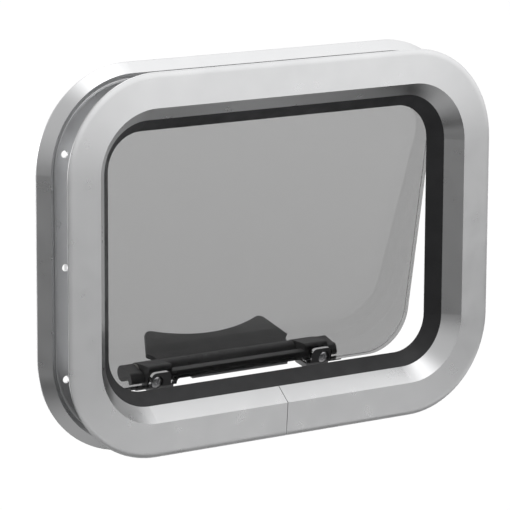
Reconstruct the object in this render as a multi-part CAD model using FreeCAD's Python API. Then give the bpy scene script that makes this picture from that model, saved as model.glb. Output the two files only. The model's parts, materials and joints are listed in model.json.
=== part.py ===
import FreeCAD, Part
import math
import os

# Opening porthole for a boat's cabin side, in millimetres.
# X runs to the right as seen from outside, Y runs from outside into the cabin, Z is up.
# The origin is the centre of the wall's cut-out, in the wall's outside surface, which the
# back of the outside frame's bezel lies on. The parts are drawn with Y = 0 at the bezel's
# flat front face and moved to that origin at the end. A frame section has two values: the
# inset from the outside frame's outline, and the depth Y. The lens and what it carries are
# drawn closed and then swung open.

# ---- outside frame: bent aluminium extrusion ----
frame_width = 380.0
frame_height = 286.0
corner_radius = 74.0
bezel_width = 26.1            # outline to the crisp inner edge
bezel_edge_round = 3.5        # width of the soft rounding along the outline
bezel_slope_drop = 1.7        # how far the face falls back from the crisp edge to the rounding
bezel_edge_drop = 2.3
bezel_thickness = 3.6
nose_inset = 0.7
bevel_run = 10.3              # inward reach of the inner bevel
bevel_depth = 12.4
ledge_thickness = 3.0
spigot_wall = 2.5
spigot_inset = 26.5           # outer face of the spigot
spigot_depth = 31.0
seam_gap = 0.5

# ---- inside frame: bent aluminium extrusion with a telescoping sleeve ----
sleeve_clearance = 0.2
sleeve_wall = 2.3
sleeve_start = 20.0
flange_depth = 36.0           # front face of the screw flange
flange_thickness = 4.0
rim_reach = 2.6               # how far the rim stands outside the outside frame's outline
rim_edge_depth = 42.4
rim_front_inset = 4.5
rim_front_depth = 33.4
rim_front_width = 1.5
groove_width = 1.9
bead_width = 2.2
bead_height = 1.05
channel_outer_inset = 11.5
channel_wall = 3.8
rim_back_depth = 44.5
rim_back_round = 1.0
inside_back_depth = 46.0

# ---- wall screw holes in the inside flange ----
wall_hole_radius = 2.75
countersink_radius = 4.6
countersink_depth = 1.9
side_hole_inset = 17.5
side_hole_past_corner = 14.5  # side rows' end holes, past the start of the corner arcs
row_hole_inset = 14.0
row_hole_past_corner = 2.95
row_hole_count = 4

# ---- seal ----
seal_reach = 9.45             # inward from the end of the bevel to the lip
lip_width = 2.3
lip_gap = 0.27                # lip to closed lens
seal_base = 3.5
seal_lip_slope = 2.6
seal_spigot_gap = 0.6
seal_rib_width = 2.0
seal_rib_depth = 2.2
seal_rib_inset = 31.5

# ---- lens ----
lens_side_inset = 35.8        # outline to the lens's side edges
lens_end_inset = 35.0         # outline to its top and bottom edges
lens_corner_less = 39.9       # lens's corner radius less than the outline's
lens_thickness = 10.0
lens_face = 23.07             # outside face when closed
lens_chamfer = 0.6
rest_opening = 10.26          # degrees open as shown

# ---- hinges ----
hinge_behind_lens = 5.43      # axis behind the lens's cabin face
hinge_above_lens = 1.3
hinge_corner_gap = 2.0        # hinge foot to the start of the corner arc
hinge_pin_radius = 2.0
hinge_running_gap = 0.05
knuckle_radius = 4.0
base_knuckle_radius = 4.3
leaf_knuckle_length = 16.0
base_knuckle_length = 9.0
knuckle_gap = 0.8
washer_thickness = 0.6
leaf_width = 40.0
leaf_thickness = 2.5
leaf_bottom_below_axis = 12.0
leaf_top_below_axis = 4.3
leaf_screw_spread = 26.0
leaf_screw_below_axis = 8.2
leaf_screw_head_radius = 3.4
leaf_screw_length = 7.5
lens_insert_radius = 2.75
lens_insert_length = 6.0
leaf_web_gap = 0.3
leaf_web_overlap = 3.0
m4_radius = 2.0
hinge_foot_width = 58.0
hinge_foot_thickness = 2.75
hinge_foot_front = 33.5
hinge_screw_spread = 47.0
hinge_screw_depth = 41.0
hinge_screw_head_radius = 3.4
hinge_screw_tail = 1.5        # past the channel wall
pin_overhang = 1.2
washer_inset = 0.3            # friction washer inside the knuckle's radius

# ---- handle ----
shaft_radius = 3.5
shaft_behind_face = 28.0      # shaft axis behind the lens's outside face
shaft_above_edge = 4.0        # shaft axis above the lens's bottom edge
shaft_running_gap = 0.05
bore_wall = 1.6               # least wall between the shaft's bore and the block's underside
handle_half = 82.5            # outer ends of the handle base
end_block_width = 21.0
end_block_top = 13.8          # above the lens's bottom edge
end_block_back_wall = 6.8     # around the shaft
end_block_front_round = 3.0
foot_drop = 4.8               # foot's underside below the lens's bottom edge
foot_front = 2.0              # behind the lens's outside face
foot_back = 8.0               # behind the lens's cabin face
foot_round = 1.5
outer_foot_back = 1.5         # the foot's outer end, which clears the claw and the keeper
outer_foot_thickness = 1.3
foot_gap = 0.3                # foot to the lens's bottom edge
bar_thickness = 6.0
bar_top = 8.5
lip_half = 44.0
lip_front = 3.0               # behind the lens's outside face
lip_bottom = 1.2
step_bottom = 3.0
recess_half = 60.0
recess_depth = 4.5
recess_corner = 3.0
recess_gap = 0.3
handle_screw_inset = 5.5      # from the handle base's end
handle_screw_above_edge = 3.0
screw_head_radius = 4.75
screw_head_height = 2.75
screw_head_rim = 1.65
screw_head_sink = 1.3
screw_radius = 2.5
screw_hole_gap = 0.25
screw_length = 14.0
hex_socket_flats = 3.0
hex_socket_depth = 1.6
clamp_plate_width = 18.0
clamp_plate_top = 8.0         # above the screw
clamp_plate_outer = 6.0       # screw to the plate's outer edge
clamp_plate_corner = 4.0
clamp_plate_thickness = 1.0   # under the screw's head
clamp_plate_sink = 0.4        # plate's front behind the lens's outside face
clamp_plate_gap = 0.3         # around the plate
screw_head_gap = 0.4          # around the head
insert_radius = 3.5
insert_length = 9.0
insert_start = 1.0            # below the end block's front face
tap_hole_extra = 2.5          # past the insert's end

# ---- lever ----
lever_barrel_radius = 6.5
lever_end_gap = 0.4           # barrel's end to the end block
lever_root_half = 60.4        # paddle's half width at the barrel
lever_root_reach = 9.5
lever_wide_half = 65.5        # widest, just clear of the end blocks' backs
lever_wide_reach = 14.5
lever_tip_half = 56.5
lever_reach = 38.5            # shaft axis to the tips
lever_dish = 10.0             # how much shorter the lever is in the middle
lever_thickness = 4.0
lever_rise = 21.5             # degrees above the closed lens's normal
lever_tip_radius = 6.0
lever_edge_round = 1.2
window_half = 35.5
window_height = 3.0
window_rib = 2.0
drive_pin_radius = 1.5
drive_pin_cover = 0.6         # pin's ends below the barrel's surface
claw_pin_bite = 1.0           # pin's ends past the shaft's surface
lever_pin_half = 50.0

# ---- latch claws and keepers ----
claw_gap = 1.1                # handle base's end to the claw
claw_width = 11.5
claw_hub_radius = 6.2
claw_swing = 28.0             # degrees from locked to released
claw_reach = 12.57            # shaft axis to the claw's front, when locked
claw_nose_width = 4.7
claw_nose_drop = 10.0         # shaft axis down to the nose's end, when locked
claw_arm_bottom = 5.7
claw_arm_top = 0.5
claw_round = 3.0
claw_nose_lead = 1.5
claw_cap = 2.0                # claw's outer wall over the shaft's end
thrust_washer_radius = 6.0
thrust_washer_thickness = 0.9
thrust_washer_gap = 0.1
keeper_width = 12.0
keeper_front = 33.5
keeper_nose_gap = 0.3         # locked claw's nose to the keeper's lip
keeper_lip_thickness = 3.5
keeper_foot = 2.2
keeper_lip_above_wall = 6.5
keeper_lip_round = 1.2
keeper_screw_spread = 6.6
keeper_screw_depth = 38.4
keeper_screw_radius = 1.5
keeper_screw_head_radius = 2.7
keeper_screw_tail = 1.0       # past the sleeve

# ---- splice plates and small screws ----
splice_length = 40.0
splice_thickness = 2.0
outside_splice_width = 8.5
outside_splice_start = 20.4   # depth of its front edge
inside_splice_width = 9.0
splice_channel_gap = 0.5
splice_screw_places = [-15.3, -5.4, 5.4, 15.3]
splice_screw_bite = 3.6       # into the outside frame's spigot and the sleeve
flange_screw_bite = 3.0
small_screw_radius = 1.5
small_head_radius = 2.8
small_head_height = 1.6
tie_screw_radius = 2.0
tie_head_radius = 3.6
tie_screw_depth = 25.5
tie_screw_half = 40.0
tie_screw_short = 0.1         # tip below the sleeve's outer face

# ---- worked-out sizes ----
half_width = frame_width / 2
half_height = frame_height / 2
run_half = half_width - corner_radius
rise_half = half_height - corner_radius
bevel_end = bezel_width + bevel_run
spigot_inner = spigot_inset + spigot_wall
sleeve_inner = spigot_inset - sleeve_clearance
sleeve_outer = sleeve_inner - sleeve_wall
ledge_back = bevel_depth + ledge_thickness
flange_back = flange_depth + flange_thickness
channel_inner = sleeve_inner - channel_wall
seal_top = lens_face - lip_gap
seal_back = ledge_back + seal_base
wall_z = half_height - sleeve_inner
lens_width = frame_width - 2 * lens_side_inset
lens_height = frame_height - 2 * lens_end_inset
lens_corner = corner_radius - lens_corner_less
lens_back = lens_face + lens_thickness
lens_top = lens_height / 2
lens_bottom = -lens_height / 2
hinge_y = lens_back + hinge_behind_lens
hinge_z = lens_top + hinge_above_lens
shaft_y = lens_face + shaft_behind_face
shaft_z = lens_bottom + shaft_above_edge
hinge_half = run_half - hinge_foot_width / 2 - hinge_corner_gap
base_knuckle_start = leaf_knuckle_length / 2 + knuckle_gap
block_inner = handle_half - end_block_width
lever_half = block_inner - lever_end_gap
screw_half = handle_half - handle_screw_inset
screw_z = lens_bottom + handle_screw_above_edge
screw_seat = lens_face + screw_head_sink + screw_head_height
claw_start = handle_half + claw_gap
claw_end = claw_start + claw_width
claw_middle = claw_start + claw_width / 2
keeper_lip_front = shaft_y - claw_reach + claw_nose_width + keeper_nose_gap

X_AXIS = FreeCAD.Vector(1, 0, 0)
Y_AXIS = FreeCAD.Vector(0, 1, 0)
Z_AXIS = FreeCAD.Vector(0, 0, 1)
nodes = {}


def vec(x, y, z):
    return FreeCAD.Vector(x, y, z)


def face_from(start, steps, place):
    """Closed face: each step is (end,) for a line or (middle, end) for an arc."""
    edges = []
    here = start
    for step in list(steps) + [(start,)]:
        end = step[-1]
        if len(step) == 2:
            arc = Part.Arc(place(*here), place(*step[0]), place(*end))
            edges.append(arc.toShape())
        elif math.dist(here, end) > 1e-6:
            edges.append(Part.makeLine(place(*here), place(*end)))
        here = end
    return Part.Face(Part.Wire(edges))


def lines(points):
    return points[0], [(point,) for point in points[1:]]


def block(x0, x1, y0, y1, z0, z1):
    return Part.makeBox(x1 - x0, y1 - y0, z1 - z0, vec(x0, y0, z0))


def rod(radius, start, direction, length):
    return Part.makeCylinder(radius, length, start, direction)


def cone(radius0, radius1, start, direction, length):
    return Part.makeCone(radius0, radius1, length, start, direction)


def join(shapes):
    whole = shapes[0].fuse(list(shapes[1:])) if len(shapes) > 1 else shapes[0]
    return whole.removeSplitter()


def yz_prism(start, steps, x0, x1):
    face = face_from(start, steps, lambda y, z: vec(x0, y, z))
    return face.extrude(X_AXIS * (x1 - x0))


def rounded_plate(width, height, radius, y0, y1):
    """A plate with rounded corners, centred on the Y axis."""
    a = width / 2
    b = height / 2
    c = radius * (1 - math.sqrt(0.5))
    steps = [((a - radius, b),), ((a - c, b - c), (a, b - radius)),
             ((a, radius - b),), ((a - c, c - b), (a - radius, -b)),
             ((radius - a, -b),), ((c - a, c - b), (-a, radius - b)),
             ((-a, b - radius),), ((c - a, b - c), (radius - a, b))]
    face = face_from((radius - a, b), steps, lambda x, z: vec(x, y0, z))
    return face.extrude(Y_AXIS * (y1 - y0))


def frame_ring(start, steps):
    """Sweep an (inset, depth) section round the rounded outline."""
    section = face_from(start, steps, lambda o, y: vec(0, y, corner_radius - o))
    corners = [(-run_half, rise_half), (run_half, rise_half), (run_half, -rise_half),
               (-run_half, -rise_half)]
    pieces = []
    for k in range(4):
        x0, z0 = corners[k]
        x1, z1 = corners[(k + 1) % 4]
        side = section.copy()
        side.rotate(vec(0, 0, 0), Y_AXIS, 90.0 * k)
        side.translate(vec(x0, 0, z0))
        pieces.append(side.extrude(vec(x1 - x0, 0, z1 - z0)))
        side.translate(vec(x1 - x0, 0, z1 - z0))
        pieces.append(side.revolve(vec(x1, 0, z1), Y_AXIS, 90.0))
    return join(pieces)


def cut_all(shape, tools):
    for tool in tools:
        shape = shape.cut(tool)
    return shape


def both_sides(make):
    return [make(-1), make(1)]


def mirrored(shape):
    return shape.mirror(vec(0, 0, 0), X_AXIS)


def swing(shape):
    """Carry a shape drawn on the closed lens to the lens's rest position."""
    turned = shape.copy()
    turned.rotate(vec(0, hinge_y, hinge_z), X_AXIS, rest_opening)
    return turned


def add(name, shapes):
    nodes[name] = shapes if isinstance(shapes, list) else [shapes]


def add_swung(name, shapes):
    group = shapes if isinstance(shapes, list) else [shapes]
    add(name, [swing(shape) for shape in group])


# ---- frames ----

def frame_seam_cut(reach):
    return block(-seam_gap / 2, seam_gap / 2, -1, inside_back_depth + 1, -half_height - reach, 0)


def tie_places():
    """Start point and outward direction of each frame tie screw."""
    side_x = half_width - spigot_inner
    top_z = half_height - spigot_inner
    places = []
    for s in (-1, 1):
        for t in (-1, 1):
            places.append((vec(s * tie_screw_half, tie_screw_depth, t * top_z), Z_AXIS * t))
            places.append((vec(s * side_x, tie_screw_depth, t * tie_screw_half), X_AXIS * s))
    return places


def sunk_screw(radius, head_radius, start, direction, length):
    """A screw with a 90 degree countersunk head, flush at its start."""
    head = cone(head_radius, radius, start, direction, head_radius - radius)
    return join([head, rod(radius, start, direction, length)])


def tie_screw(place):
    start, outward = place
    length = spigot_wall + sleeve_clearance + sleeve_wall - tie_screw_short
    return sunk_screw(tie_screw_radius, tie_head_radius, start, outward, length)


def small_screw(under_head, direction, length):
    head = rod(small_head_radius, under_head, -direction, small_head_height)
    return join([head, rod(small_screw_radius, under_head, direction, length)])


def outside_frame():
    round_start = nose_inset + bezel_edge_round
    round_middle = (nose_inset + bezel_edge_round * 0.4,
                    bezel_slope_drop + (bezel_edge_drop - bezel_slope_drop) * 0.45)
    steps = [
        (round_middle, (nose_inset, bezel_edge_drop)),
        ((0.0, (bezel_edge_drop + bezel_thickness) / 2), (nose_inset, bezel_thickness)),
        ((spigot_inset, bezel_thickness),),
        ((spigot_inset, spigot_depth),),
        ((spigot_inner, spigot_depth),),
        ((spigot_inner, ledge_back),),
        ((seal_rib_inset, ledge_back),),
        ((seal_rib_inset, ledge_back - seal_rib_depth),),
        ((seal_rib_inset + seal_rib_width, ledge_back - seal_rib_depth),),
        ((seal_rib_inset + seal_rib_width, ledge_back),),
        ((bevel_end, ledge_back),),
        ((bevel_end, bevel_depth),),
        ((bezel_width, 0.0),),
    ]
    shape = frame_ring((round_start, bezel_slope_drop), steps)
    shape = shape.cut(frame_seam_cut(1.0))
    for place in tie_places():
        shape = shape.cut(tie_screw(place))
    return cut_all(shape, outside_splice_screws())


def outside_splice():
    """A plate across the bottom seam, on the spigot's inner side behind the seal."""
    z0 = -half_height + spigot_inner
    plate = block(-splice_length / 2, splice_length / 2, outside_splice_start,
                  outside_splice_start + outside_splice_width, z0, z0 + splice_thickness)
    return cut_all(plate, outside_splice_screws())


def outside_splice_screws():
    y = outside_splice_start + outside_splice_width / 2
    z = -half_height + spigot_inner + splice_thickness
    return [small_screw(vec(x, y, z), -Z_AXIS, splice_thickness + splice_screw_bite)
            for x in splice_screw_places]


def inside_frame():
    groove_start = rim_front_inset + rim_front_width
    bead_start = groove_start + groove_width
    bead_end = bead_start + bead_width
    back_corner = rim_edge_depth + rim_back_round
    steps = [
        ((rim_front_inset, rim_front_depth),),
        ((groove_start, rim_front_depth),),
        ((groove_start, flange_depth),),
        ((bead_start, flange_depth),),
        (((bead_start + bead_end) / 2, flange_depth - bead_height), (bead_end, flange_depth)),
        ((sleeve_outer, flange_depth),),
        ((sleeve_outer, sleeve_start),),
        ((sleeve_inner, sleeve_start),),
        ((sleeve_inner, inside_back_depth),),
        ((channel_inner, inside_back_depth),),
        ((channel_inner, flange_back),),
        ((channel_outer_inset, flange_back),),
        ((channel_outer_inset, rim_back_depth),),
        ((0.0, rim_back_depth),),
        ((-rim_reach, back_corner),),
    ]
    shape = frame_ring((-rim_reach, rim_edge_depth), steps)
    shape = shape.cut(frame_seam_cut(rim_reach + 1))
    for x, z in wall_holes():
        shape = shape.cut(wall_hole(x, z))
    for place in tie_places():
        shape = shape.cut(tie_screw(place))
    shape = cut_all(shape, inside_splice_screws() + outside_splice_screws())
    for s in (-1, 1):
        shape = cut_all(shape, hinge_base_screws(s) + keeper_screws(s))
    return shape


def wall_holes():
    """Centres of the wall screw holes in the inside flange."""
    side_x = half_width - side_hole_inset
    side_pitch = rise_half + side_hole_past_corner
    row_z = half_height - row_hole_inset
    row_end = run_half + row_hole_past_corner
    row_pitch = 2 * row_end / (row_hole_count - 1)
    holes = [(s * side_x, n * side_pitch) for s in (-1, 1) for n in (-1, 0, 1)]
    for t in (-1, 1):
        for k in range(row_hole_count):
            holes.append((k * row_pitch - row_end, t * row_z))
    return holes


def wall_hole(x, z):
    straight = rod(wall_hole_radius, vec(x, flange_depth - 1, z), Y_AXIS, flange_thickness + 2)
    sink_from = vec(x, flange_back - countersink_depth, z)
    sink = cone(wall_hole_radius, countersink_radius, sink_from, Y_AXIS, countersink_depth)
    return join([straight, sink])


def inside_splice():
    """A plate across the bottom seam, in the screw channel."""
    z1 = -half_height + channel_inner - splice_channel_gap
    plate = block(-splice_length / 2, splice_length / 2, flange_back, flange_back + splice_thickness,
                  z1 - inside_splice_width, z1)
    return cut_all(plate, inside_splice_screws())


def inside_splice_screws():
    y = flange_back + splice_thickness
    z = -half_height + channel_inner - splice_channel_gap - inside_splice_width / 2
    return [small_screw(vec(x, y, z), -Y_AXIS, splice_thickness + flange_screw_bite)
            for x in splice_screw_places]


def lens_seal():
    lip_inset = bevel_end + seal_reach
    steps = [
        ((lip_inset, seal_top),),
        ((lip_inset - lip_width, seal_top),),
        ((lip_inset - lip_width - seal_lip_slope, seal_back),),
        ((spigot_inner + seal_spigot_gap, seal_back),),
        ((spigot_inner + seal_spigot_gap, ledge_back),),
        ((seal_rib_inset, ledge_back),),
        ((seal_rib_inset, ledge_back - seal_rib_depth),),
        ((seal_rib_inset + seal_rib_width, ledge_back - seal_rib_depth),),
        ((seal_rib_inset + seal_rib_width, ledge_back),),
        ((bevel_end, ledge_back),),
    ]
    return frame_ring((bevel_end, bevel_depth), steps)


# ---- lens ----

def lens():
    plate = rounded_plate(lens_width, lens_height, lens_corner, lens_face, lens_back)
    rims = [edge for edge in plate.Edges if abs(edge.BoundBox.YLength) < 1e-6]
    plate = plate.makeChamfer(lens_chamfer, rims)
    recess = rounded_plate(2 * recess_half, 2 * recess_depth, recess_corner,
                           lens_face - 1, lens_back + 1)
    recess.translate(vec(0, 0, lens_bottom))
    plate = plate.cut(recess)
    for s in (-1, 1):
        plate = plate.cut(handle_screw_pocket(s))
        plate = cut_all(plate, lens_inserts(s) + leaf_screws(s))
    return plate


def screw_hole(x, radius, y1):
    return rod(radius, vec(x, lens_face - 1, screw_z), Y_AXIS, y1 - lens_face + 1)


def clamp_plate_shape(s, gap, y0, y1):
    """A rounded plate round a handle screw, which runs past the lens's bottom edge."""
    high = screw_z + clamp_plate_top - lens_bottom
    plate = rounded_plate(clamp_plate_width + 2 * gap, 2 * (high + gap), clamp_plate_corner + gap, y0, y1)
    plate.translate(vec(s * (screw_half + clamp_plate_outer - clamp_plate_width / 2), 0, lens_bottom))
    return plate


def handle_screw_pocket(s):
    """A pocket for the clamp plate with a slot through it, both open to the lens's bottom edge."""
    x = s * screw_half
    radius = screw_radius + screw_hole_gap
    pocket = clamp_plate_shape(s, clamp_plate_gap, lens_face - 1, screw_seat + clamp_plate_thickness)
    slot = block(x - radius, x + radius, lens_face - 1, lens_back + 1, lens_bottom - 2, screw_z)
    return join([pocket, slot, screw_hole(x, radius, lens_back + 1)])


# ---- hinges ----

def hinge_x(s):
    return s * hinge_half


def leaf_screw_xs(s):
    return [hinge_x(s) + t * leaf_screw_spread / 2 for t in (-1, 1)]


def leaf_screws(s):
    z = hinge_z - leaf_screw_below_axis
    made = []
    for x in leaf_screw_xs(s):
        start = vec(x, lens_back + leaf_thickness, z)
        made.append(sunk_screw(m4_radius, leaf_screw_head_radius, start, -Y_AXIS, leaf_screw_length))
    return made


def lens_inserts(s):
    z = hinge_z - leaf_screw_below_axis
    return [rod(lens_insert_radius, vec(x, lens_back, z), -Y_AXIS, lens_insert_length)
            for x in leaf_screw_xs(s)]


def threaded_inserts():
    made = []
    for s in (-1, 1):
        for body, screw in zip(lens_inserts(s), leaf_screws(s)):
            made.append(body.cut(screw))
    return made


def hinge_leaf(s):
    x = hinge_x(s)
    low = hinge_z - leaf_bottom_below_axis
    high = hinge_z - leaf_top_below_axis
    half = leaf_knuckle_length / 2
    plate = block(x - leaf_width / 2, x + leaf_width / 2, lens_back, lens_back + leaf_thickness, low, high)
    web = block(x - half, x + half, lens_back + leaf_web_gap, hinge_y, high - leaf_web_overlap, hinge_z)
    knuckle = rod(knuckle_radius, vec(x - half, hinge_y, hinge_z), X_AXIS, 2 * half)
    shape = join([plate, web, knuckle])
    shape = shape.cut(rod(hinge_pin_radius + hinge_running_gap,
                          vec(x - half - 1, hinge_y, hinge_z), X_AXIS, 2 * half + 2))
    return cut_all(shape, leaf_screws(s))


def base_knuckle_starts(s):
    x = hinge_x(s)
    return [x - base_knuckle_start - base_knuckle_length, x + base_knuckle_start]


def hinge_base(s):
    x = hinge_x(s)
    foot = block(x - hinge_foot_width / 2, x + hinge_foot_width / 2, hinge_foot_front, inside_back_depth,
                 wall_z - hinge_foot_thickness, wall_z)
    pieces = [foot]
    for x0 in base_knuckle_starts(s):
        pieces.append(rod(base_knuckle_radius, vec(x0, hinge_y, hinge_z), X_AXIS, base_knuckle_length))
        pieces.append(block(x0, x0 + base_knuckle_length, hinge_y - base_knuckle_radius,
                            hinge_y + base_knuckle_radius, hinge_z, wall_z))
    return cut_all(join(pieces), [hinge_pin(s)] + hinge_base_screws(s))


def hinge_pin(s):
    half = base_knuckle_start + base_knuckle_length + pin_overhang
    x = hinge_x(s)
    return rod(hinge_pin_radius, vec(x - half, hinge_y, hinge_z), X_AXIS, 2 * half)


def friction_washers(s):
    x = hinge_x(s)
    near = base_knuckle_start - washer_thickness
    made = []
    for x0 in (x - base_knuckle_start, x + near):
        disc = rod(knuckle_radius - washer_inset, vec(x0, hinge_y, hinge_z), X_AXIS, washer_thickness)
        made.append(disc.cut(hinge_pin(s)))
    return made


def hinge_base_screws(s):
    made = []
    for t in (-1, 1):
        start = vec(hinge_x(s) + t * hinge_screw_spread / 2, hinge_screw_depth, wall_z - hinge_foot_thickness)
        length = hinge_foot_thickness + channel_wall + hinge_screw_tail
        made.append(sunk_screw(m4_radius, hinge_screw_head_radius, start, Z_AXIS, length))
    return made


# ---- handle ----

def end_block(s):
    """One end of the handle base, whose top slopes back to a hub round the shaft."""
    z0 = shaft_z - shaft_radius - shaft_running_gap - bore_wall
    z1 = lens_bottom + end_block_top
    back = shaft_y + end_block_back_wall
    r = end_block_front_round
    c = 1 - math.sqrt(0.5)
    to_top = (lens_back + r - shaft_y, z1 - shaft_z)
    leave = math.atan2(to_top[1], to_top[0]) - math.acos(end_block_back_wall / math.hypot(*to_top))
    hub = [(shaft_y + end_block_back_wall * math.cos(turn), shaft_z + end_block_back_wall * math.sin(turn))
           for turn in (leave, leave / 2, 0.0)]
    steps = [
        ((lens_back, z1 - r),),
        ((lens_back + r * c, z1 - r * c), (lens_back + r, z1)),
        (hub[0],),
        (hub[1], hub[2]),
        ((back, z0 + r),),
        ((back - r * c, z0 + r * c), (back - r, z0)),
    ]
    shape = yz_prism((lens_back, z0), steps, block_inner, handle_half)
    return shape if s > 0 else mirrored(shape)


def handle_foot(s):
    """The end block's foot, which reaches under the lens's bottom edge."""
    front = lens_face + foot_front
    back = lens_back + foot_back
    top = lens_bottom - foot_gap
    low = lens_bottom - foot_drop
    start, steps = lines([(front, top), (lens_back, top), (lens_back, lens_bottom + handle_screw_above_edge),
                          (back, lens_bottom + handle_screw_above_edge), (back, low + foot_round),
                          (back - foot_round, low), (front + foot_round, low), (front, low + foot_round)])
    outer_back = lens_back + outer_foot_back
    outer = block(handle_half - 1, claw_end, front, outer_back, top - outer_foot_thickness, top)
    shape = join([yz_prism(start, steps, block_inner, handle_half), outer])
    return shape if s > 0 else mirrored(shape)


def handle_insert(s):
    start = vec(s * screw_half, lens_back + insert_start, screw_z)
    return rod(insert_radius, start, Y_AXIS, insert_length).cut(handle_screw(s))


def handle_screw(s):
    """A button-head screw with a hex socket."""
    x = s * screw_half
    top = lens_face + screw_head_sink
    head = face_from((0.0, top),
                     [((screw_head_radius * 0.62, top + (screw_head_height - screw_head_rim) / 4),
                       (screw_head_radius, screw_seat - screw_head_rim)),
                      ((screw_head_radius, screw_seat),), ((0.0, screw_seat),)],
                     lambda r, y: vec(x + r, y, screw_z)).revolve(vec(x, 0, screw_z), Y_AXIS, 360)
    shank = rod(screw_radius, vec(x, screw_seat, screw_z), Y_AXIS, screw_length)
    corner = hex_socket_flats / math.sqrt(3)
    ring = [vec(x + corner * math.cos(math.radians(60 * k)), top - 1,
                screw_z + corner * math.sin(math.radians(60 * k))) for k in range(7)]
    socket = Part.Face(Part.makePolygon(ring)).extrude(Y_AXIS * (hex_socket_depth + 1))
    return join([head, shank]).cut(socket)


def clamp_plate(s):
    """A moulded plate that fills the pocket, counterbored for the screw's head."""
    plate = clamp_plate_shape(s, 0, lens_face + clamp_plate_sink, screw_seat + clamp_plate_thickness)
    plate = plate.cut(screw_hole(s * screw_half, screw_head_radius + screw_head_gap, screw_seat))
    below = block(-handle_half - 1, handle_half + 1, lens_face, lens_back, 2 * lens_bottom, lens_bottom)
    return plate.cut(below).cut(screw_hole(s * screw_half, screw_radius, lens_back))


def handle_base():
    bar = block(-block_inner - 1, block_inner + 1, lens_back, lens_back + bar_thickness,
                lens_bottom + lip_bottom, lens_bottom + bar_top)
    lip = block(-lip_half, lip_half, lens_face + lip_front, lens_back + 1,
                lens_bottom + lip_bottom, lens_bottom + recess_depth - recess_gap)
    step = rounded_plate(2 * (recess_half - recess_gap), 2 * (recess_depth - recess_gap),
                         recess_corner, lens_face + lip_front, lens_back + 1)
    step.translate(vec(0, 0, lens_bottom))
    step = step.cut(block(-recess_half, recess_half, lens_face, lens_back + 2,
                          lens_bottom - recess_depth, lens_bottom + step_bottom))
    shape = join([bar, lip, step] + both_sides(end_block) + both_sides(handle_foot))
    bore = rod(shaft_radius + shaft_running_gap, vec(-handle_half - 1, shaft_y, shaft_z),
               X_AXIS, 2 * handle_half + 2)
    shape = shape.cut(bore)
    hole_end = lens_back + insert_start + insert_length + tap_hole_extra
    for s in (-1, 1):
        x = s * screw_half
        around_head = screw_hole(x, screw_head_radius + screw_head_gap, screw_seat + clamp_plate_thickness)
        shape = cut_all(shape, [handle_insert(s), around_head, screw_hole(x, screw_radius, hole_end)])
    return shape


# ---- lever, shaft and claws ----

def drive_pin_xs():
    return [-claw_middle, -lever_pin_half, lever_pin_half, claw_middle]


def drive_pins():
    made = []
    lean = math.radians(lever_rise)
    across = vec(0, -math.sin(lean), math.cos(lean))
    for x in drive_pin_xs():
        in_lever = abs(x) < handle_half
        reach = lever_barrel_radius - drive_pin_cover if in_lever else shaft_radius + claw_pin_bite
        start = vec(x, shaft_y, shaft_z) - across * reach
        made.append(rod(drive_pin_radius, start, across, 2 * reach))
    return made


def handle_shaft():
    half = claw_end - claw_cap
    bar = rod(shaft_radius, vec(-half, shaft_y, shaft_z), X_AXIS, 2 * half)
    return cut_all(bar, drive_pins())


def lever():
    """A barrel on the shaft with a dished paddle that points into the cabin."""
    lean = math.radians(lever_rise)
    along = vec(0, math.cos(lean), math.sin(lean))
    across = vec(0, -math.sin(lean), math.cos(lean))
    root = vec(0, shaft_y, shaft_z)

    def place(x, reach):
        return root + X_AXIS * x + along * reach - across * (lever_thickness / 2)

    corner = (lever_tip_half - lever_tip_radius, lever_reach - lever_tip_radius)
    to_wide = (lever_wide_half - corner[0], lever_wide_reach - corner[1])
    first = math.atan2(to_wide[1], to_wide[0]) + math.acos(lever_tip_radius / math.hypot(*to_wide))
    dish_and_tip = (corner[0] ** 2 + lever_dish ** 2) / (2 * lever_dish)
    last = math.acos(-corner[0] / dish_and_tip)
    rounding = [(corner[0] + lever_tip_radius * math.cos(turn), corner[1] + lever_tip_radius * math.sin(turn))
                for turn in (first, (first + last) / 2, last)]
    left = [(-x, reach) for x, reach in reversed(rounding)]
    steps = [
        ((lever_root_half, lever_root_reach),),
        ((lever_wide_half, lever_wide_reach),),
        (rounding[0],),
        (rounding[1], rounding[2]),
        ((0.0, lever_reach - lever_dish), left[0]),
        (left[1], left[2]),
        ((-lever_wide_half, lever_wide_reach),),
        ((-lever_root_half, lever_root_reach),),
        ((-lever_root_half, 0.0),),
    ]
    paddle = face_from((lever_root_half, 0.0), steps, place).extrude(across * lever_thickness)
    rims = [edge for edge in paddle.Edges if edge.CenterOfMass.sub(root).dot(along) > lever_wide_reach
            and abs(edge.CenterOfMass.sub(root).dot(across)) > lever_thickness * 0.4]
    paddle = paddle.makeFillet(lever_edge_round, rims)
    barrel = rod(lever_barrel_radius, root - X_AXIS * lever_half, X_AXIS, 2 * lever_half)
    shape = join([barrel, paddle])
    shape = shape.cut(rod(shaft_radius, root - X_AXIS * (lever_half + 1), X_AXIS, 2 * lever_half + 2))
    for s in (-1, 1):
        x0, x1 = sorted((s * window_rib / 2, s * window_half))
        shape = shape.cut(block(x0, x1, shaft_y - lever_barrel_radius - 1, shaft_y,
                                shaft_z - window_height, shaft_z))
    return cut_all(shape, drive_pins())


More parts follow.
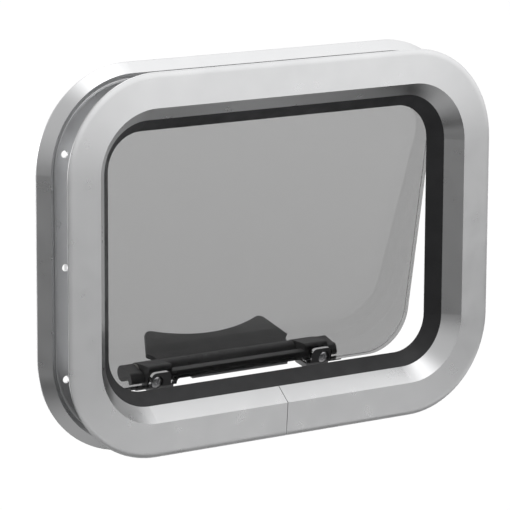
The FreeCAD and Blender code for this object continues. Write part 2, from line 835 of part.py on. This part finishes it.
def claw(s):
    """Hook drawn locked, with its nose in front of the keeper's lip, then turned to rest."""
    y = shaft_y
    z = shaft_z
    front = y - claw_reach
    c = 1 - math.sqrt(0.5)
    steps = [
        ((front, z - claw_nose_drop + claw_nose_lead),),
        ((front, z - claw_arm_top - claw_round),),
        ((front + claw_round * c, z - claw_arm_top - claw_round * c),
         (front + claw_round, z - claw_arm_top)),
        ((y, z + claw_hub_radius),),
        ((y + claw_hub_radius, z), (y, z - claw_hub_radius)),
        ((y - claw_round, z - claw_arm_bottom),),
        ((front + claw_nose_width, z - claw_arm_bottom),),
        ((front + claw_nose_width, z - claw_nose_drop),),
    ]
    shape = yz_prism((front + claw_nose_lead, z - claw_nose_drop), steps, claw_start, claw_end)
    shape.rotate(vec(0, y, z), X_AXIS, -claw_swing)
    shape = shape.cut(rod(shaft_radius, vec(claw_start - 1, y, z), X_AXIS, claw_width + 1 - claw_cap))
    if s < 0:
        shape = mirrored(shape)
    return cut_all(shape, drive_pins())


def thrust_washer(s):
    x0 = claw_start - thrust_washer_gap - thrust_washer_thickness
    centre = vec(0, shaft_y, shaft_z)
    disc = rod(thrust_washer_radius, centre + X_AXIS * x0, X_AXIS, thrust_washer_thickness)
    shape = disc.cut(rod(shaft_radius, centre, X_AXIS, claw_end))
    return shape if s > 0 else mirrored(shape)


# ---- keepers ----

def keeper_x(s):
    return s * claw_middle


def keeper_screws(s):
    made = []
    for t in (-1, 1):
        start = vec(keeper_x(s) + t * keeper_screw_spread / 2, keeper_screw_depth, -wall_z + keeper_foot)
        length = keeper_foot + sleeve_wall + keeper_screw_tail
        made.append(sunk_screw(keeper_screw_radius, keeper_screw_head_radius, start, -Z_AXIS, length))
    return made


def keeper(s):
    x0 = keeper_x(s) - keeper_width / 2
    x1 = keeper_x(s) + keeper_width / 2
    back = keeper_lip_front + keeper_lip_thickness
    top = -wall_z + keeper_lip_above_wall
    foot = -wall_z + keeper_foot
    start, steps = lines([(keeper_front, -wall_z), (keeper_front, foot), (keeper_lip_front, foot),
                          (keeper_lip_front, top), (back - keeper_lip_round, top),
                          (back, top - keeper_lip_round), (back, -wall_z)])
    return cut_all(yz_prism(start, steps, x0, x1), keeper_screws(s))


def build():
    add("outside_frame", outside_frame())
    add("outside_splice_plate", outside_splice())
    add("outside_splice_screws", outside_splice_screws())
    add("inside_frame", inside_frame())
    add("inside_splice_plate", inside_splice())
    add("inside_splice_screws", inside_splice_screws())
    add("frame_tie_screws", [tie_screw(place) for place in tie_places()])
    add("lens_seal", lens_seal())
    add_swung("lens", lens())
    add_swung("lens_inserts", threaded_inserts())
    for s, side in ((-1, "left"), (1, "right")):
        add("hinge_base_" + side, hinge_base(s))
        add("hinge_pin_" + side, hinge_pin(s))
        add("hinge_washers_" + side, friction_washers(s))
        add("hinge_screws_" + side, hinge_base_screws(s))
        add_swung("hinge_leaf_" + side, hinge_leaf(s))
        add_swung("leaf_screws_" + side, leaf_screws(s))
        add("keeper_" + side, keeper(s))
        add("keeper_screws_" + side, keeper_screws(s))
        add_swung("latch_claw_" + side, claw(s))
    add_swung("handle_base", handle_base())
    add_swung("handle_screws", both_sides(handle_screw))
    add_swung("handle_clamp_plates", both_sides(clamp_plate))
    add_swung("handle_inserts", both_sides(handle_insert))
    add_swung("handle_shaft", handle_shaft())
    add_swung("handle_lever", lever())
    add_swung("drive_pins", drive_pins())
    add_swung("thrust_washers", both_sides(thrust_washer))


build()
os.makedirs("parts", exist_ok=True)
for name, shapes in nodes.items():
    shape = shapes[0] if len(shapes) == 1 else Part.makeCompound(shapes)
    shape.translate(vec(0, -bezel_thickness, 0))
    shape.exportStep("parts/" + name + ".step")
    solids = sum(len(piece.Solids) for piece in shapes)
    print(name, "solids", solids, "valid", shape.isValid(), "volume", round(shape.Volume, 1))
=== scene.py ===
import json
import math

import bpy
from mathutils import Matrix, Vector


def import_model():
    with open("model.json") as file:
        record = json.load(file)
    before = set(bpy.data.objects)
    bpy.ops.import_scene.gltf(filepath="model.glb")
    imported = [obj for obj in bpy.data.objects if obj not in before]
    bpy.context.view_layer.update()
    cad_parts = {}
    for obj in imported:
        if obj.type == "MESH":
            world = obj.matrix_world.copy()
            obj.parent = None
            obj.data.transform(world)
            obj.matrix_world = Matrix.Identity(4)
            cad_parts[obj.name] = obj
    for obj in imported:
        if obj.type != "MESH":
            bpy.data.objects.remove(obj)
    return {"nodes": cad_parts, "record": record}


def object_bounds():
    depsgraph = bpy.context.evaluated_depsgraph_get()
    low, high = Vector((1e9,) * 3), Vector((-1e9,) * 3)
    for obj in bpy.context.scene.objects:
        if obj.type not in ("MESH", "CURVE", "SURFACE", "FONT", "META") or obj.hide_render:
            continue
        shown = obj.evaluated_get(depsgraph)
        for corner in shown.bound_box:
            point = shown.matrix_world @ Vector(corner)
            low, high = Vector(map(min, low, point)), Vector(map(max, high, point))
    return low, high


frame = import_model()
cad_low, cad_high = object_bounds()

scene = bpy.context.scene
nodes = frame["nodes"]


# ---------------------------------------------------------------- node helpers

class Material:
    """A node material with one Principled shader, and short helpers to feed it."""

    def __init__(self, name, **sockets):
        self.material = bpy.data.materials.new(name)
        self.material.use_nodes = True
        self.tree = self.material.node_tree
        self.shader = self.tree.nodes["Principled BSDF"]
        self.output = self.tree.nodes["Material Output"]
        self.where = self.node("ShaderNodeTexCoord").outputs["Object"]
        for socket, value in sockets.items():
            self.shader.inputs[socket.replace("_", " ")].default_value = value

    def node(self, kind, **settings):
        made = self.tree.nodes.new(kind)
        for key, value in settings.items():
            setattr(made, key, value)
        return made

    def link(self, source, target):
        self.tree.links.new(source, target)

    def noise(self, scale, detail=3.0, roughness=0.5, stretch=(1, 1, 1)):
        mapping = self.node("ShaderNodeMapping")
        mapping.inputs["Scale"].default_value = stretch
        self.link(self.where, mapping.inputs["Vector"])
        noise = self.node("ShaderNodeTexNoise")
        self.link(mapping.outputs["Vector"], noise.inputs["Vector"])
        noise.inputs["Scale"].default_value = scale
        noise.inputs["Detail"].default_value = detail
        noise.inputs["Roughness"].default_value = roughness
        return noise.outputs["Fac"]

    def ramp(self, source, low, high, start=0.3, end=0.7):
        """Map a grey source to the range low..high (numbers or colours)."""
        ramp = self.node("ShaderNodeValToRGB")
        ramp.color_ramp.elements[0].position = start
        ramp.color_ramp.elements[1].position = end
        for element, value in zip(ramp.color_ramp.elements, (low, high)):
            grey = isinstance(value, float)
            element.color = (value, value, value, 1) if grey else (*value, 1)
        self.link(source, ramp.inputs["Fac"])
        return ramp.outputs["Color"]

    def bump(self, source, distance, strength=1.0, after=None):
        bump = self.node("ShaderNodeBump")
        bump.inputs["Distance"].default_value = distance
        bump.inputs["Strength"].default_value = strength
        self.link(source, bump.inputs["Height"])
        if after is not None:
            self.link(after, bump.inputs["Normal"])
        self.link(bump.outputs["Normal"], self.shader.inputs["Normal"])
        return bump.outputs["Normal"]

    def feed(self, source, socket):
        self.link(source, self.shader.inputs[socket])


def satin_aluminium():
    made = Material("satin_aluminium", Metallic=1.0)
    cloud = made.noise(9.0, 4.0, 0.6)
    made.feed(made.ramp(cloud, (0.70, 0.703, 0.71), (0.745, 0.748, 0.753)), "Base Color")
    made.feed(made.ramp(made.noise(60.0, 3.0), 0.27, 0.32), "Roughness")
    grain = made.bump(made.noise(5200.0, 2.0, 0.6), 0.00003, 0.35)
    made.bump(made.noise(700.0, 2.0, 0.5), 0.00003, 0.20, after=grain)
    return made.material


def dark_anodised():
    made = Material("dark_anodised_aluminium", Metallic=1.0)
    made.feed(made.ramp(made.noise(40.0, 3.0), (0.045, 0.045, 0.05), (0.075, 0.075, 0.08)), "Base Color")
    made.feed(made.ramp(made.noise(120.0, 3.0), 0.36, 0.48), "Roughness")
    made.bump(made.noise(4200.0, 2.0), 0.00003, 0.3)
    return made.material


def stainless_steel():
    made = Material("stainless_steel", Metallic=1.0)
    made.feed(made.ramp(made.noise(150.0, 3.0), (0.50, 0.50, 0.51), (0.60, 0.60, 0.61)), "Base Color")
    made.feed(made.ramp(made.noise(420.0, 3.0, 0.6, stretch=(8, 1, 1)), 0.22, 0.36), "Roughness")
    made.bump(made.noise(2600.0, 2.0, 0.5, stretch=(1, 6, 6)), 0.00002, 0.4)
    return made.material


def black_rubber():
    made = Material("black_rubber")
    cloud = made.noise(30.0, 4.0, 0.6)
    made.feed(made.ramp(cloud, (0.010, 0.010, 0.011), (0.018, 0.018, 0.020)), "Base Color")
    made.feed(made.ramp(made.noise(90.0, 3.0), 0.42, 0.56), "Roughness")
    made.bump(made.noise(1800.0, 3.0, 0.6), 0.00004, 0.5)
    return made.material


def black_plastic(name="black_plastic", low=(0.125, 0.125, 0.126), high=(0.155, 0.155, 0.157)):
    """Moulded, spark-eroded plastic, mottled between two greys."""
    made = Material(name)
    made.feed(made.ramp(made.noise(45.0, 3.0), low, high), "Base Color")
    made.feed(made.ramp(made.noise(300.0, 3.0), 0.38, 0.52), "Roughness")
    made.bump(made.noise(3000.0, 2.0, 0.7), 0.00005, 0.5)
    return made.material


def white_nylon():
    made = Material("white_nylon")
    made.feed(made.ramp(made.noise(80.0, 3.0), (0.66, 0.65, 0.60), (0.76, 0.75, 0.71)), "Base Color")
    made.feed(made.ramp(made.noise(200.0, 2.0), 0.38, 0.50), "Roughness")
    made.bump(made.noise(1500.0, 2.0), 0.00003, 0.3)
    return made.material


def brass():
    made = Material("brass", Metallic=1.0)
    made.feed(made.ramp(made.noise(90.0, 3.0), (0.62, 0.47, 0.22), (0.74, 0.58, 0.30)), "Base Color")
    made.feed(made.ramp(made.noise(500.0, 3.0, 0.6, stretch=(1, 8, 1)), 0.24, 0.38), "Roughness")
    made.bump(made.noise(2200.0, 2.0), 0.00002, 0.4)
    return made.material


SMOKE_DENSITY = 95.0          # per metre


def smoked_acrylic():
    """Clear sheet with a neutral smoke tint all through, so the edges look darker."""
    made = Material("smoked_acrylic", Base_Color=(1, 1, 1, 1), IOR=1.49, Transmission_Weight=1.0)
    made.feed(made.ramp(made.noise(25.0, 4.0, 0.6), 0.0, 0.02, 0.45, 0.75), "Roughness")
    smoke = made.node("ShaderNodeVolumeAbsorption")
    smoke.inputs["Color"].default_value = (0.0, 0.0, 0.0, 1)
    smoke.inputs["Density"].default_value = SMOKE_DENSITY
    made.link(smoke.outputs["Volume"], made.output.inputs["Volume"])
    return made.material


FINISHES = {
    "satin_aluminium": satin_aluminium,
    "dark_anodised_aluminium": dark_anodised,
    "stainless_steel": stainless_steel,
    "black_rubber": black_rubber,
    "black_plastic": black_plastic,
    "white_nylon": white_nylon,
    "brass": brass,
    "smoked_acrylic": smoked_acrylic,
}


# the plates under the handle's screws get a darker copy of the black plastic: painted shade standing in
# for the shaded pocket around each screw head
PLATE_NODE = "handle_clamp_plates"
PLATE_SHADE_LOW = (0.022, 0.022, 0.023)
PLATE_SHADE_HIGH = (0.032, 0.032, 0.033)


def dress(node, material):
    mesh = nodes[node].data
    mesh.materials.clear()
    mesh.materials.append(material)


def dress_cad_nodes():
    made = {slot: build() for slot, build in FINISHES.items()}
    for entry in frame["record"]["subparts"]:
        dress(entry["node"], made[entry["material_slot"]])
    # the clamp plates take the darker copy, painted shade for the pocket around the screw heads
    dress(PLATE_NODE, black_plastic("black_plastic_plates_painted_shade", PLATE_SHADE_LOW, PLATE_SHADE_HIGH))


dress_cad_nodes()


# ---------------------------------------------------------------- floor, light, camera

def stage_material():
    made = Material("stage_white", Base_Color=(0.98, 0.98, 0.98, 1), Roughness=0.9)
    made.shader.inputs["Specular IOR Level"].default_value = 0.0
    return made.material


FLOOR_DROP = 0.75             # metres below the object's lowest point
FLOOR_HALF = 14.0             # metres, half its width


def floor():
    z = cad_low.z - FLOOR_DROP
    corners = [(-FLOOR_HALF, -FLOOR_HALF, z), (FLOOR_HALF, -FLOOR_HALF, z),
               (FLOOR_HALF, FLOOR_HALF, z), (-FLOOR_HALF, FLOOR_HALF, z)]
    mesh = bpy.data.meshes.new("floor")
    mesh.from_pydata(corners, [], [(0, 1, 2, 3)])
    mesh.materials.append(stage_material())
    plane = bpy.data.objects.new("floor", mesh)
    scene.collection.objects.link(plane)
    plane.visible_glossy = False     # reflections show the surround below the horizon instead


# The studio surround that surfaces reflect and are lit by: height, from 0 straight down to 1
# straight up, and brightness there. Below the horizon it has a bright band between two dark ones.
SKY = [(0.0, 0.42), (0.14, 0.42), (0.245, 0.02), (0.285, 1.2), (0.33, 0.64), (0.39, 0.06),
       (0.45, 0.92), (0.54, 1.25), (0.75, 1.15), (0.95, 1.15), (1.0, 2.8)]

# How its sides differ low down: a direction, the dot products with it where the change starts and
# ends, and the factor on the brightness beyond that.
LOWER_SIDES = [
    ((-0.8, -0.6, 0.0), 0.3, 0.85, 0.35),    # near left
    ((0.7, 0.7, 0.0), 0.3, 0.8, 0.3),        # far right
    ((-0.6, 0.8, 0.0), 0.5, 0.9, 2.0),       # far left
]
UPPER_START = 0.05            # Z of the direction, where the sides start to give way to overhead
UPPER_END = 0.5
OVERHEAD_LEFT = -0.45         # X of the direction, to the left of which overhead is dimmest
OVERHEAD_RIGHT = 0.3
OVERHEAD_DIM = 0.52           # factor on the brightness there

PLAIN_WHITE = 1.05            # brightness seen directly, and through the lens


def new_ramp(tree, stops):
    """A grey colour ramp with (place, level) stops."""
    ramp = tree.nodes.new("ShaderNodeValToRGB")
    elements = ramp.color_ramp.elements
    for element, (place, _) in zip(elements, (stops[0], stops[-1])):
        element.position = place
    for place, _ in stops[1:-1]:
        elements.new(place)
    for element, (_, level) in zip(elements, stops):
        element.color = (level, level, level, 1)
    return ramp


def world():
    """Plain white where it is looked at, and the banded surround where it lights or is reflected."""
    made = bpy.data.worlds.new("studio")
    made.use_nodes = True
    scene.world = made
    tree = made.node_tree
    tree.nodes.clear()
    where = tree.nodes.new("ShaderNodeTexCoord")
    split = tree.nodes.new("ShaderNodeSeparateXYZ")
    tree.links.new(where.outputs["Generated"], split.inputs["Vector"])

    def rescale(source, start, end, low, high, kind="SMOOTHSTEP"):
        step = tree.nodes.new("ShaderNodeMapRange")
        step.interpolation_type = kind
        for socket, value in zip(("From Min", "From Max", "To Min", "To Max"), (start, end, low, high)):
            step.inputs[socket].default_value = value
        tree.links.new(source, step.inputs["Value"])
        return step.outputs["Result"]

    def combine(operation, first, second):
        maths = tree.nodes.new("ShaderNodeMath")
        maths.operation = operation
        for socket, source in zip(maths.inputs, (first, second)):
            tree.links.new(source, socket)
        return maths.outputs["Value"]

    def towards(direction):
        dot = tree.nodes.new("ShaderNodeVectorMath")
        dot.operation = "DOT_PRODUCT"
        dot.inputs[1].default_value = direction
        tree.links.new(where.outputs["Generated"], dot.inputs[0])
        return dot.outputs["Value"]

    height = rescale(split.outputs["Z"], -1.0, 1.0, 0.0, 1.0, "LINEAR")
    ramp = new_ramp(tree, SKY)
    tree.links.new(height, ramp.inputs["Fac"])

    near_left, far_right, far_left = [rescale(towards(direction), start, end, 1.0, level)
                                      for direction, start, end, level in LOWER_SIDES]
    lower = combine("MULTIPLY", combine("MULTIPLY", near_left, far_right), far_left)
    overhead = rescale(split.outputs["X"], OVERHEAD_LEFT, OVERHEAD_RIGHT, OVERHEAD_DIM, 1.0)
    shade = tree.nodes.new("ShaderNodeMix")
    upper = rescale(split.outputs["Z"], UPPER_START, UPPER_END, 0.0, 1.0)
    for source, socket in ((upper, "Factor"), (lower, "A"), (overhead, "B")):
        tree.links.new(source, shade.inputs[socket])
    surround = tree.nodes.new("ShaderNodeBackground")
    tree.links.new(ramp.outputs["Color"], surround.inputs["Color"])
    tree.links.new(shade.outputs["Result"], surround.inputs["Strength"])

    white = tree.nodes.new("ShaderNodeBackground")
    white.inputs["Color"].default_value = (1, 1, 1, 1)
    white.inputs["Strength"].default_value = PLAIN_WHITE
    rays = tree.nodes.new("ShaderNodeLightPath")
    seen = combine("MAXIMUM", rays.outputs["Is Camera Ray"], rays.outputs["Is Transmission Ray"])
    mix = tree.nodes.new("ShaderNodeMixShader")
    tree.links.new(seen, mix.inputs["Fac"])
    tree.links.new(surround.outputs["Background"], mix.inputs[1])
    tree.links.new(white.outputs["Background"], mix.inputs[2])
    output = tree.nodes.new("ShaderNodeOutputWorld")
    tree.links.new(mix.outputs["Shader"], output.inputs["Surface"])


CAMERA_AZIMUTH = math.radians(-34.71)
CAMERA_ELEVATION = math.radians(11.36)
CAMERA_ROLL = math.radians(0.40)
CAMERA_DISTANCE = 2.3463      # metres from the bezel's centre
CAMERA_LENS = 221.73          # mm
CAMERA_SENSOR = 36.0          # mm
CAMERA_REACH = 50.0           # metres
AIM_RIGHT = -0.02548          # the picture's centre, seen from the bezel's centre
AIM_UP = -0.00328
BEZEL_FACE = Vector((0.0, cad_low.y, 0.0))


def camera():
    ce = math.cos(CAMERA_ELEVATION)
    back = Vector((math.sin(CAMERA_AZIMUTH) * ce, -math.cos(CAMERA_AZIMUTH) * ce,
                   math.sin(CAMERA_ELEVATION)))
    right = (-back).cross(Vector((0, 0, 1))).normalized()
    up = right.cross(-back)
    turn = Matrix.Rotation(-CAMERA_ROLL, 3, -back)
    right, up = turn @ right, turn @ up
    place = BEZEL_FACE + back * CAMERA_DISTANCE
    aim = BEZEL_FACE + right * AIM_RIGHT + up * AIM_UP
    look = (aim - place).normalized()
    side = look.cross(up).normalized()
    over = side.cross(look)
    data = bpy.data.cameras.new("camera")
    data.lens = CAMERA_LENS
    data.sensor_width = CAMERA_SENSOR
    data.clip_end = CAMERA_REACH
    made = bpy.data.objects.new("camera", data)
    scene.collection.objects.link(made)
    made.matrix_world = Matrix((side, over, -look)).transposed().to_4x4()
    made.location = place
    scene.camera = made


floor()
world()
camera()
scene.view_settings.view_transform = "Standard"
